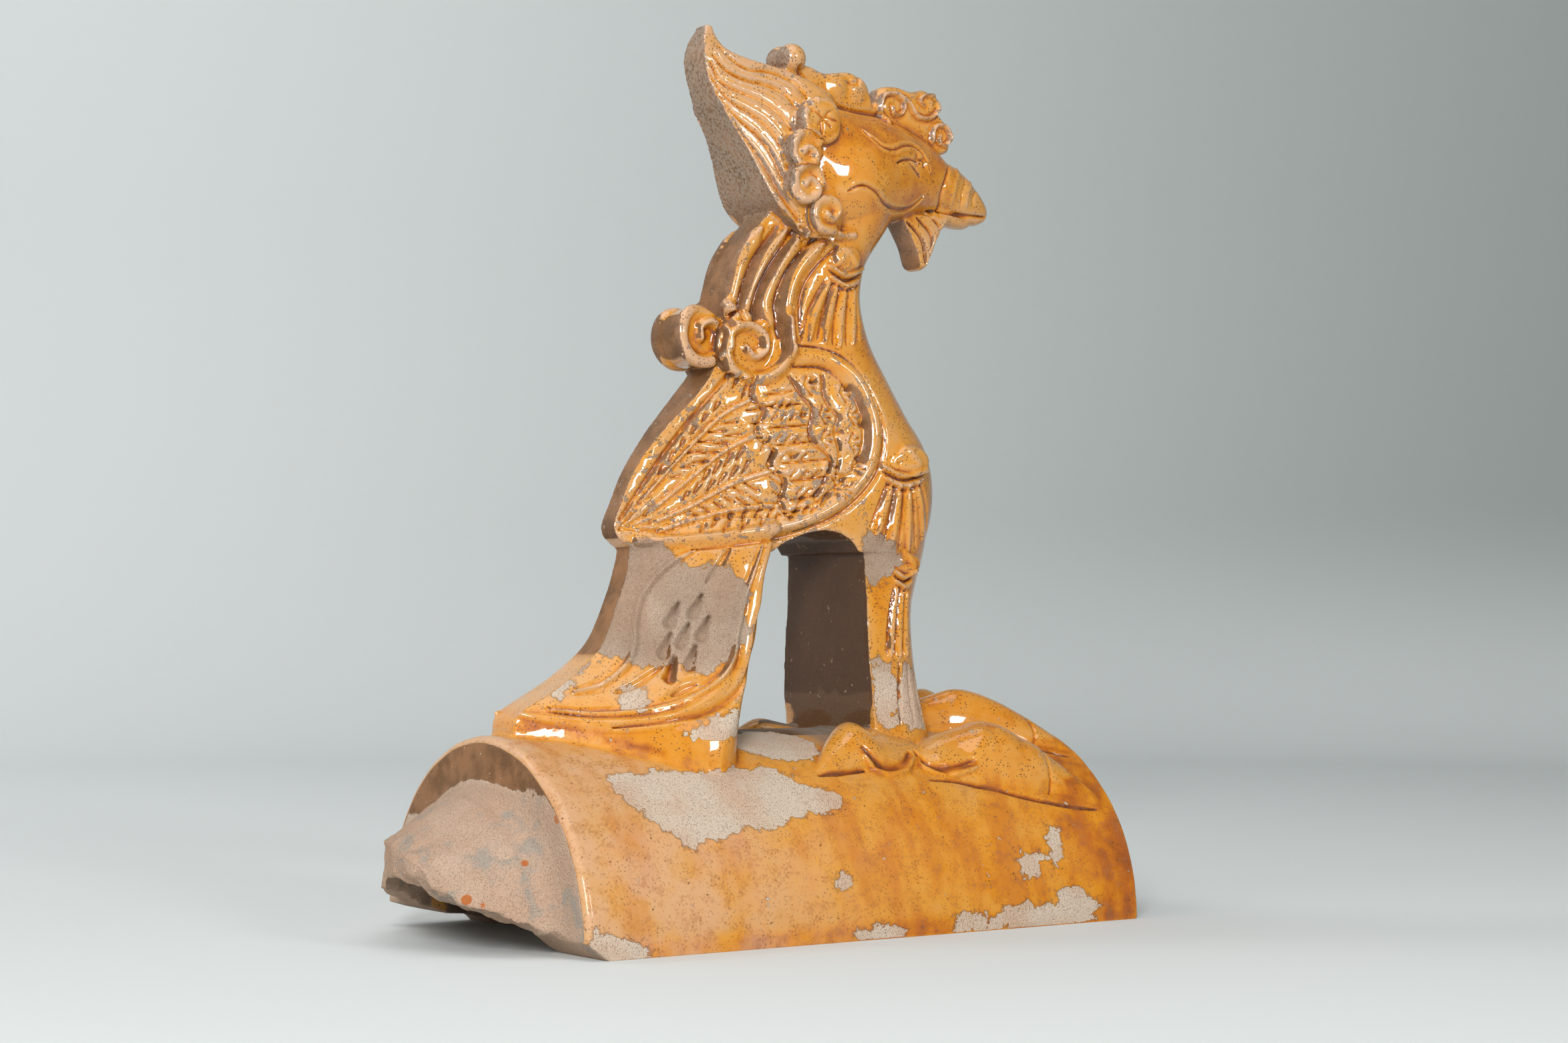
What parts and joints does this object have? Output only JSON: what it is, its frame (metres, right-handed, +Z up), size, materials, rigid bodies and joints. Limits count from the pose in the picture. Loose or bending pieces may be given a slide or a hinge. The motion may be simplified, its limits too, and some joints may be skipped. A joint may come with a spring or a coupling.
{
  "type": "ridge beast ornament",
  "caption": "Glazed half-round ridge tile with a broken tongue, carrying a seated phoenix with scaled wings, a spread tail, scrolled neck locks and a tall swept-back crest.",
  "frame": {"origin": "middle of the footprint, in the plane of the two long edges that the tile lies on", "axes": "+X the way the phoenix looks along the tile, with the tongue towards -X, +Z up, +Y to the phoenix's left, Y = 0 the plane of symmetry"},
  "size_m": [0.279, 0.144, 0.333],
  "materials": {
    "amber_glaze": "glossy amber lead glaze over buff fired clay, flaked in places"
  },
  "bodies": {
    "root": {"phoenix_ridge_tile": "amber_glaze"}
  },
  "joints": []
}
